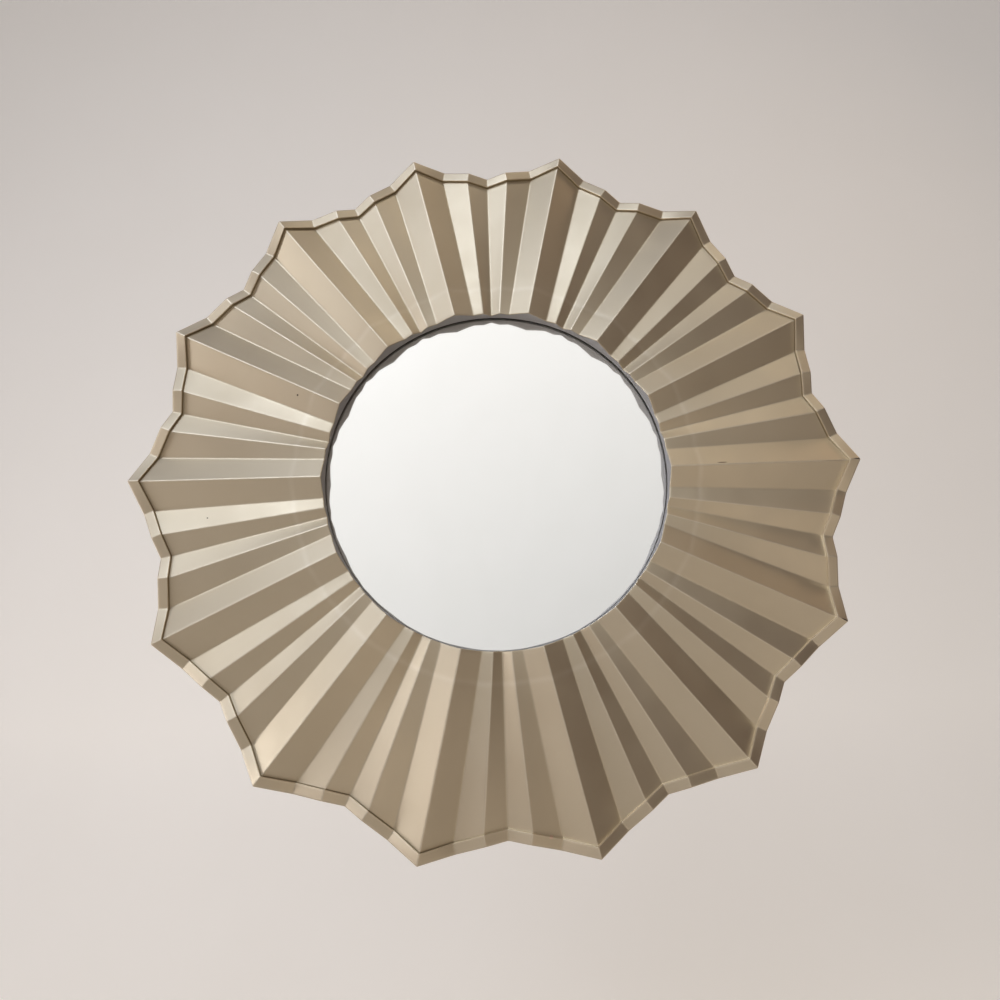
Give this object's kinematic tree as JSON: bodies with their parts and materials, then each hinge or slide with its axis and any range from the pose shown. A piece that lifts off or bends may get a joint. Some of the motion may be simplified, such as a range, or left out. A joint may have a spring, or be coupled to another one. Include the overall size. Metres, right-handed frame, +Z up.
{
  "type": "wall mirror",
  "caption": "Round wall mirror with a flat glass disc in a moulded frame of radial pleats that fan out to a star-shaped rim with a raised lip.",
  "frame": {"origin": "middle of the back board's rear face, on the wall", "axes": "+Z up, +X to the right as seen from the front, +Y into the wall; the glass faces -Y"},
  "size_m": [0.61, 0.029, 0.5948],
  "materials": {
    "frame_lacquer": "satin champagne metallic lacquer on moulded plastic",
    "silvered_glass": "flat silvered glass",
    "fibreboard": "raw fibreboard",
    "zinc_steel": "bright zinc plated"
  },
  "bodies": {
    "root": {"pleated_frame": "frame_lacquer", "mirror_glass": "silvered_glass", "back_board": "fibreboard", "keyhole_plate": "zinc_steel", "board_screw_1": "zinc_steel", "board_screw_2": "zinc_steel", "board_screw_3": "zinc_steel", "board_screw_4": "zinc_steel", "board_screw_5": "zinc_steel", "board_screw_6": "zinc_steel", "board_screw_7": "zinc_steel", "plate_screw_1": "zinc_steel", "plate_screw_2": "zinc_steel"}
  },
  "joints": []
}
